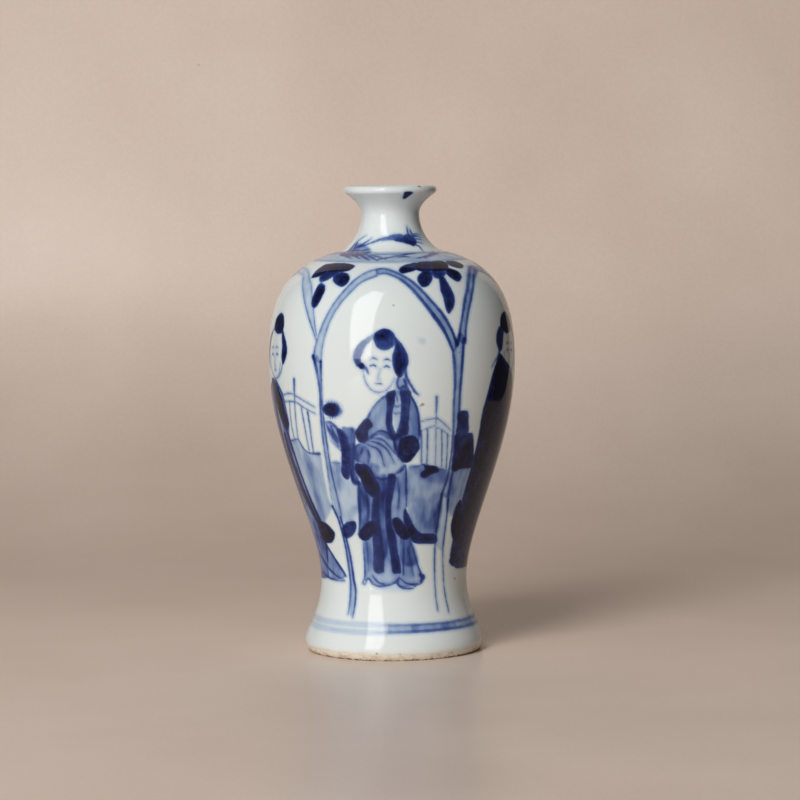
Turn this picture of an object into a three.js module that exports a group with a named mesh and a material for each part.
// Small blue and white porcelain vase: spreading foot, high swelling shoulder, short neck, everted lip.
// The pot is four thrown sections that are stacked while leather-hard and luted with clay slip.
// Units are millimetres, +Z is up, and the origin is the centre of the foot ring's standing face.

import * as THREE from "three";

// Height of the waist above the standing face, and how far each place above it lies over the one below
const WAIST_HEIGHT = 17;
const BELLY_RISE = 52;
const NECK_JOINT_RISE = 25.6;
const THROAT_RISE = 8.7;
const LIP_RISE = 6.7;

// Outer radii, and how far the edge that the vase stands on lies inside the foot's widest place
const FOOT_UNDERCUT = 1.3;
const FOOT_RADIUS = 21.2;
const WAIST_RADIUS = 17.3;
const BELLY_RADIUS = 29.2;
const NECK_JOINT_RADIUS = 12.3;
const THROAT_RADIUS = 6.85;
const LIP_RADIUS = 10.95;

// How far each curve runs on in the direction in which it starts, and comes in before it ends
const FOOT_BULGE_HEIGHT = 2.6;
const FOOT_BULGE_RISE = 2.4;
const FOOT_CURVE_FALL = 7.6;
const TAPER_START_RISE = 12.5;
const TAPER_END_FALL = 20.5;
const SHOULDER_RISE = 13.4;
const SHOULDER_REACH = 13.5;
const SHOULDER_DROP = 3;
const NECK_BASE_REACH = 2.4;
const NECK_BASE_FALL = 4.3;
const FLARE_START_RISE = 1.8;
const FLARE_REACH = 2.4;
const FLARE_LIFT = 1.7;

// Wall thickness of the thrown clay at each of those heights
const FOOT_WALL = 3.4;
const WAIST_WALL = 3;
const BELLY_WALL = 2.3;
const NECK_JOINT_WALL = 2.2;
const THROAT_WALL = 1.8;
const LIP_WALL = 2.1;

// Turned base, whose flank leans out over this share of the way up to the foot's widest place
const FLANK_LEAN_SHARE = 0.25;
const RING_HEIGHT = 1.5;
const RING_WIDTH = 2.5;
const RING_BEVEL = 0.5;
const RECESS_DEPTH = 3.4;
const BASE_THICKNESS = 2.8;
const RECESS_FILLET = 1.2;
const FLOOR_FILLET = 3.5;

// Luted joints, with the one in the body a little below the belly
const BODY_JOINT_DROP = 12;
const SLIP_THICKNESS = 0.5;
const SLIP_BEAD = 0.9;

// Smoothness of the facets
const TURN_SEGMENTS = 60;
const FOOT_STEPS = 5;
const TAPER_STEPS = 8;
const SHOULDER_STEPS = 9;
const NECK_STEPS = 5;
const FLARE_STEPS = 4;
const LIP_STEPS = 5;
const FILLET_STEPS = 3;
const BEAD_STEPS = 2;

const porcelain = new THREE.MeshStandardMaterial({ color: 0xe4e8e4, roughness: 0.12, metalness: 0 });
const bareClay = new THREE.MeshStandardMaterial({ color: 0xd2b48c, roughness: 0.8, metalness: 0 });
const driedSlip = new THREE.MeshStandardMaterial({ color: 0xe0e0d6, roughness: 0.45, metalness: 0 });

const bellyHeight = WAIST_HEIGHT + BELLY_RISE;
const bodyJointHeight = bellyHeight - BODY_JOINT_DROP;
const neckJointHeight = bellyHeight + NECK_JOINT_RISE;
const throatHeight = neckJointHeight + THROAT_RISE;
const totalHeight = throatHeight + LIP_RISE;

const point = (radius, height) => new THREE.Vector2(radius, height);

// One stretch of the wall: its outer curve, and how its thickness runs from one end to the other.
function stretch(from, leave, arrive, to, startWall, endWall, steps) {
  return { curve: new THREE.CubicBezierCurve(from, leave, arrive, to), startWall, endWall, steps };
}

// The lip is a round roll as thick as the wall that it ends, so the flare stops short of the full size.
const flareDirection = point(FLARE_REACH, FLARE_LIFT).normalize();
const lipRoll = LIP_WALL / 2;
const lipCentre = point(LIP_RADIUS - lipRoll, totalHeight - lipRoll);
const flareEnd = point(
  lipCentre.x + lipRoll * flareDirection.y,
  lipCentre.y - lipRoll * flareDirection.x,
);

const neckJoint = point(NECK_JOINT_RADIUS, neckJointHeight);
const neckBaseSlope = SHOULDER_DROP / SHOULDER_REACH;

const wallStretches = [
  stretch(
    point(FOOT_RADIUS, FOOT_BULGE_HEIGHT),
    point(FOOT_RADIUS, FOOT_BULGE_HEIGHT + FOOT_BULGE_RISE),
    point(WAIST_RADIUS, WAIST_HEIGHT - FOOT_CURVE_FALL),
    point(WAIST_RADIUS, WAIST_HEIGHT),
    FOOT_WALL,
    WAIST_WALL,
    FOOT_STEPS,
  ),
  stretch(
    point(WAIST_RADIUS, WAIST_HEIGHT),
    point(WAIST_RADIUS, WAIST_HEIGHT + TAPER_START_RISE),
    point(BELLY_RADIUS, bellyHeight - TAPER_END_FALL),
    point(BELLY_RADIUS, bellyHeight),
    WAIST_WALL,
    BELLY_WALL,
    TAPER_STEPS,
  ),
  stretch(
    point(BELLY_RADIUS, bellyHeight),
    point(BELLY_RADIUS, bellyHeight + SHOULDER_RISE),
    point(NECK_JOINT_RADIUS + SHOULDER_REACH, neckJointHeight - SHOULDER_DROP),
    neckJoint,
    BELLY_WALL,
    NECK_JOINT_WALL,
    SHOULDER_STEPS,
  ),
  stretch(
    neckJoint,
    point(NECK_JOINT_RADIUS - NECK_BASE_REACH, neckJointHeight + NECK_BASE_REACH * neckBaseSlope),
    point(THROAT_RADIUS, throatHeight - NECK_BASE_FALL),
    point(THROAT_RADIUS, throatHeight),
    NECK_JOINT_WALL,
    THROAT_WALL,
    NECK_STEPS,
  ),
  stretch(
    point(THROAT_RADIUS, throatHeight),
    point(THROAT_RADIUS, throatHeight + FLARE_START_RISE),
    point(flareEnd.x - FLARE_REACH, flareEnd.y - FLARE_LIFT),
    flareEnd,
    THROAT_WALL,
    LIP_WALL,
    FLARE_STEPS,
  ),
];

// Points of an arc, both ends included, by angles in degrees from straight outwards.
function arc(centre, radius, fromDegrees, toDegrees, steps) {
  const points = [];
  for (let i = 0; i <= steps; i++) {
    const angle = THREE.MathUtils.degToRad(fromDegrees + ((toDegrees - fromDegrees) * i) / steps);
    points.push(point(centre.x + radius * Math.cos(angle), centre.y + radius * Math.sin(angle)));
  }
  return points;
}

// The outer line runs from the foot up to the lip, and the inner line lies one wall thickness inside it.
function wallLines() {
  const outer = [];
  const inner = [];
  for (const { curve, startWall, endWall, steps } of wallStretches) {
    for (let i = outer.length ? 1 : 0; i <= steps; i++) {
      const t = i / steps;
      const at = curve.getPoint(t);
      const along = curve.getTangent(t);
      const wall = THREE.MathUtils.lerp(startWall, endWall, t);
      outer.push(at);
      inner.push(point(at.x - along.y * wall, at.y + along.x * wall));
    }
  }
  const flareDegrees = THREE.MathUtils.radToDeg(Math.atan2(flareDirection.y, flareDirection.x));
  const roll = arc(lipCentre, lipRoll, flareDegrees - 90, flareDegrees + 90, LIP_STEPS);
  outer.push(...roll.slice(1, -1));
  return { outer, inner };
}

const wall = wallLines();

// Radius of a rising line at a height.
function radiusAt(line, height) {
  const above = Math.max(1, line.findIndex((p) => p.y >= height));
  const low = line[above - 1];
  const high = line[above];
  return THREE.MathUtils.mapLinear(height, low.y, high.y, low.x, high.x);
}

// Points of a rising line between two heights, with a point on each of them.
function lineBetween(line, bottom, top) {
  const least = 0.05;
  const inside = line.filter((p) => p.y > bottom + least && p.y < top - least);
  return [point(radiusAt(line, bottom), bottom), ...inside, point(radiusAt(line, top), top)];
}

// A solid of revolution from a closed outline that runs up its outer side and down its inner side.
function turned(name, outline, material, closesOnAxis = false) {
  const points = closesOnAxis ? outline : [...outline, outline[0]];
  const geometry = new THREE.LatheGeometry(points, TURN_SEGMENTS);
  geometry.rotateX(Math.PI / 2);
  const mesh = new THREE.Mesh(geometry, material);
  mesh.name = name;
  return mesh;
}

// A thrown section between two joints.
function thrownSection(name, bottom, top) {
  const outside = lineBetween(wall.outer, bottom, top);
  const inside = lineBetween(wall.inner, bottom, top).reverse();
  return turned(name, [...outside, ...inside], porcelain);
}

const halfSlip = SLIP_THICKNESS / 2;

// Slip fills the joint flush with the outside, and its surplus stands as a soft bead on the inside.
function slipJoint(name, height) {
  const bottom = height - halfSlip;
  const top = height + halfSlip;
  const edge = Math.min(radiusAt(wall.inner, bottom), radiusAt(wall.inner, top));
  const bead = arc(point(edge, height), 1, 90, 270, BEAD_STEPS).map((p) =>
    point(edge + (p.x - edge) * SLIP_BEAD, height + (p.y - height) * halfSlip),
  );
  const outline = [point(radiusAt(wall.outer, bottom), bottom), point(radiusAt(wall.outer, top), top), ...bead];
  return turned(name, outline, driedSlip);
}

// The knife-cut ring that the vase stands on, bevelled on both sides and left bare of glaze.
function footRing() {
  const standingRadius = FOOT_RADIUS - FOOT_UNDERCUT;
  const innerRadius = standingRadius - RING_WIDTH;
  const flank = new THREE.QuadraticBezierCurve(
    point(standingRadius, 0),
    point(FOOT_RADIUS, FOOT_BULGE_HEIGHT * FLANK_LEAN_SHARE),
    point(FOOT_RADIUS, FOOT_BULGE_HEIGHT),
  ).getPoints(FOOT_STEPS);
  const outside = lineBetween(flank, RING_HEIGHT, FOOT_BULGE_HEIGHT);
  const ring = [
    ...lineBetween(flank, 0, RING_HEIGHT),
    point(innerRadius - RING_BEVEL, RING_HEIGHT),
    point(innerRadius, 0),
  ];
  return { ring: turned("foot_ring", ring, bareClay), outside, recessRadius: innerRadius - RING_BEVEL };
}

const { ring, outside: footFlank, recessRadius } = footRing();

// The spreading foot is a small dish: its floor closes the vase, and is turned hollow underneath.
function foot() {
  const top = WAIST_HEIGHT - halfSlip;
  const floorHeight = RECESS_DEPTH + BASE_THICKNESS;
  const recessFillet = Math.min(RECESS_FILLET, RECESS_DEPTH - RING_HEIGHT);
  const wallFromFloor = lineBetween(wall.inner, floorHeight + FLOOR_FILLET, top);
  const wallFoot = wallFromFloor[0];
  const recess = arc(
    point(recessRadius - recessFillet, RECESS_DEPTH - recessFillet),
    recessFillet,
    90,
    0,
    FILLET_STEPS,
  );
  const floor = new THREE.QuadraticBezierCurve(
    wallFoot,
    point(wallFoot.x, floorHeight),
    point(wallFoot.x - FLOOR_FILLET, floorHeight),
  ).getPoints(FILLET_STEPS);
  const outline = [
    point(0, RECESS_DEPTH),
    ...recess,
    point(recessRadius, RING_HEIGHT),
    ...footFlank,
    ...lineBetween(wall.outer, FOOT_BULGE_HEIGHT, top).slice(1),
    ...wallFromFloor.reverse(),
    ...floor.slice(1),
    point(0, floorHeight),
  ];
  return turned("foot", outline, porcelain, true);
}

// The neck opens into the lip, whose roll joins the outer line to the inner one.
function neck() {
  const bottom = neckJointHeight + halfSlip;
  const outside = [
    point(radiusAt(wall.outer, bottom), bottom),
    ...wall.outer.filter((p) => p.y > bottom),
  ];
  const inside = [
    point(radiusAt(wall.inner, bottom), bottom),
    ...wall.inner.filter((p) => p.y > bottom),
  ];
  return turned("neck", [...outside, ...inside.reverse()], porcelain);
}

const vase = new THREE.Group();
vase.add(
  ring,
  foot(),
  slipJoint("foot_joint_slip", WAIST_HEIGHT),
  thrownSection("lower_body", WAIST_HEIGHT + halfSlip, bodyJointHeight - halfSlip),
  slipJoint("body_joint_slip", bodyJointHeight),
  thrownSection("upper_body", bodyJointHeight + halfSlip, neckJointHeight - halfSlip),
  slipJoint("neck_joint_slip", neckJointHeight),
  neck(),
);

export default vase;
